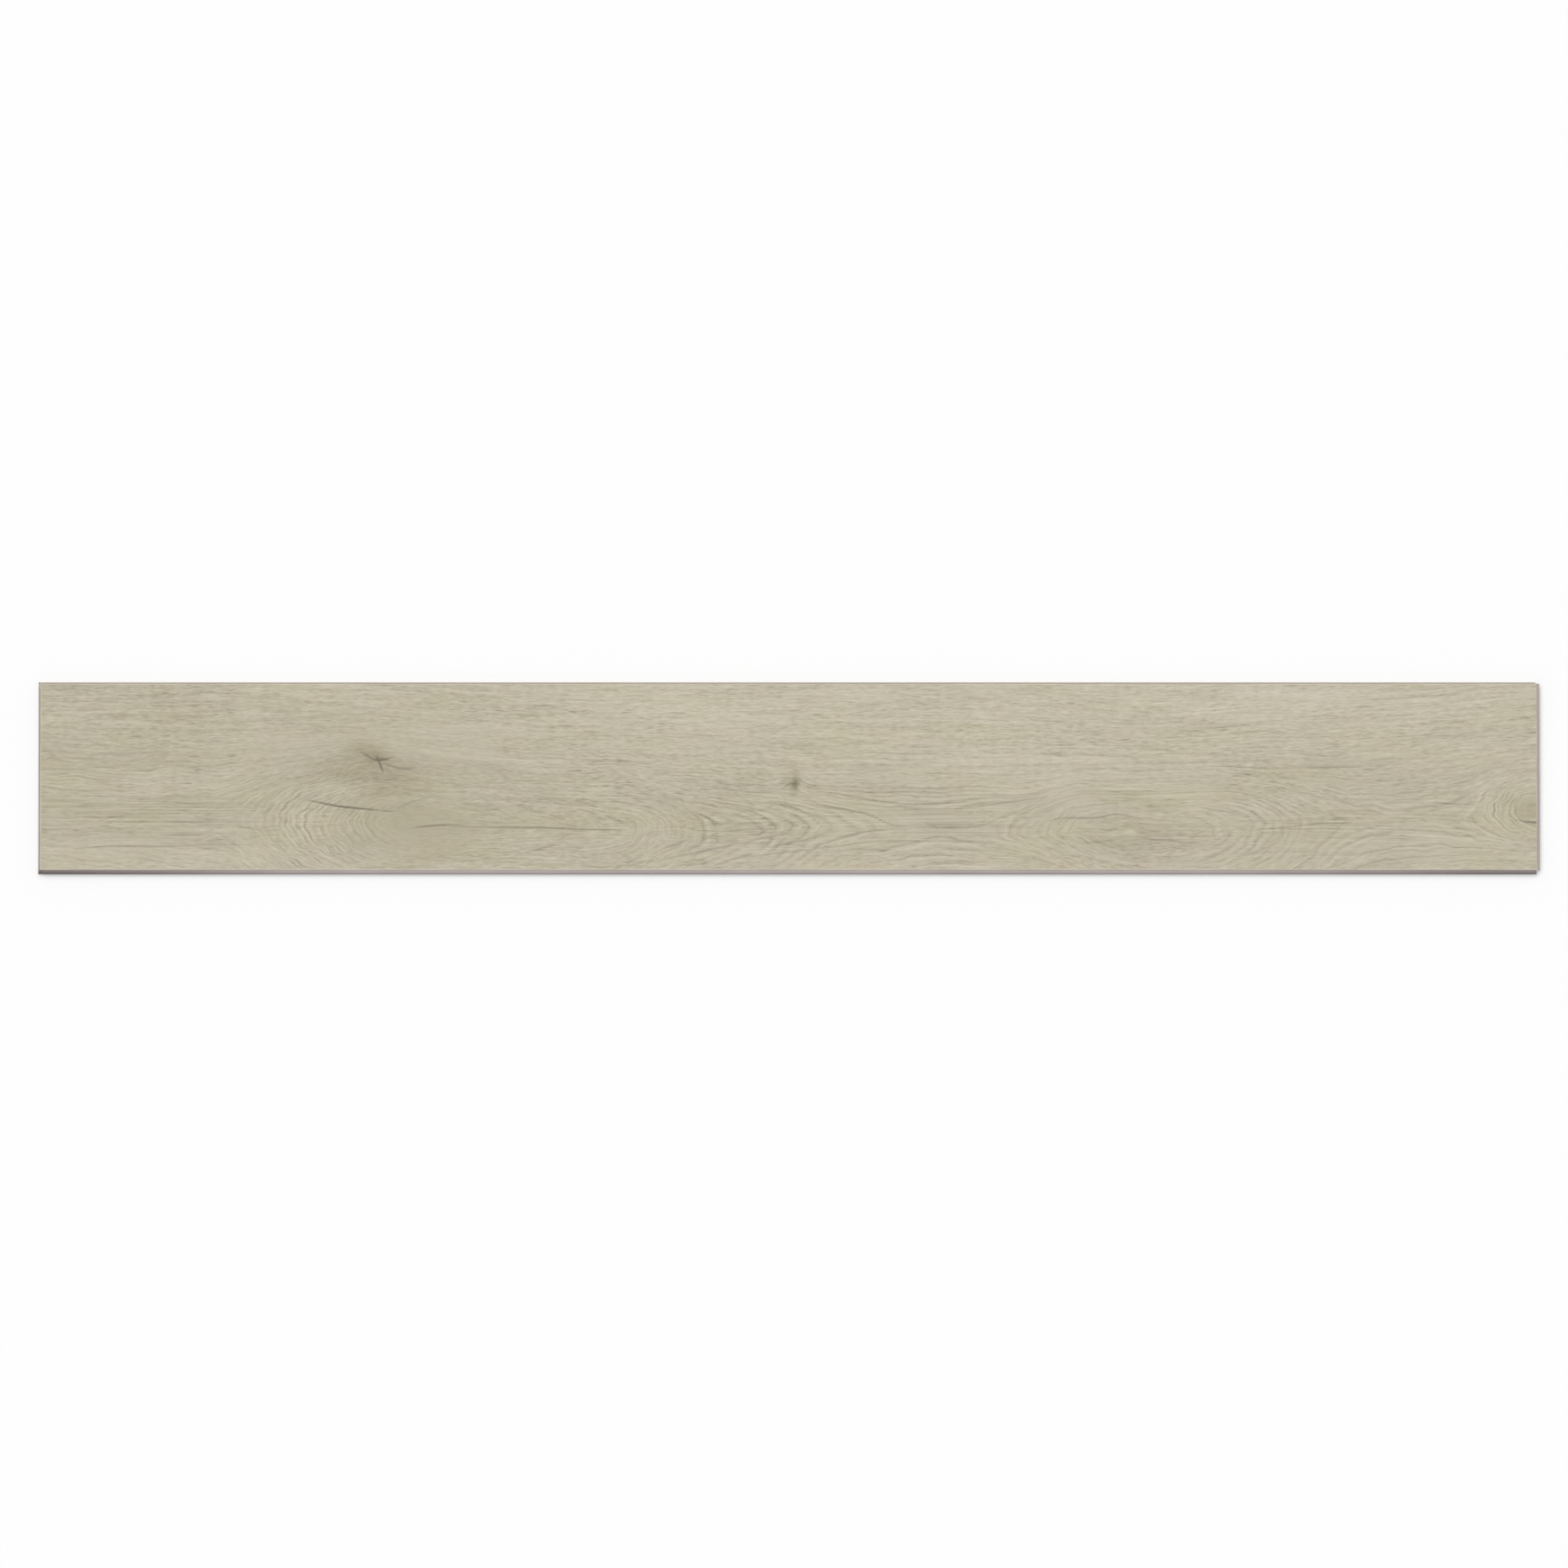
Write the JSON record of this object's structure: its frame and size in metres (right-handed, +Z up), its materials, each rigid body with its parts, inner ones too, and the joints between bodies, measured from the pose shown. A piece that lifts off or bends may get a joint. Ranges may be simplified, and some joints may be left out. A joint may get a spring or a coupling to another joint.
{
  "type": "hybrid floor plank",
  "caption": "Rigid click-lock floor plank with a pale oak-look bevelled face, tongue on the front edge and right end, groove and locking lip on the back edge and left end.",
  "frame": {"origin": "centre of the underside, midway between the joint planes of the long edges and of the ends", "axes": "+X along the plank towards the tongued end, +Y across it towards the grooved edge, +Z up out of the walking face"},
  "size_m": [1.2234, 0.1568, 0.0065],
  "materials": {
    "plank": "matt oak-print vinyl face on a grey mineral-filled board"
  },
  "bodies": {
    "root": {"plank": "plank"}
  },
  "joints": []
}
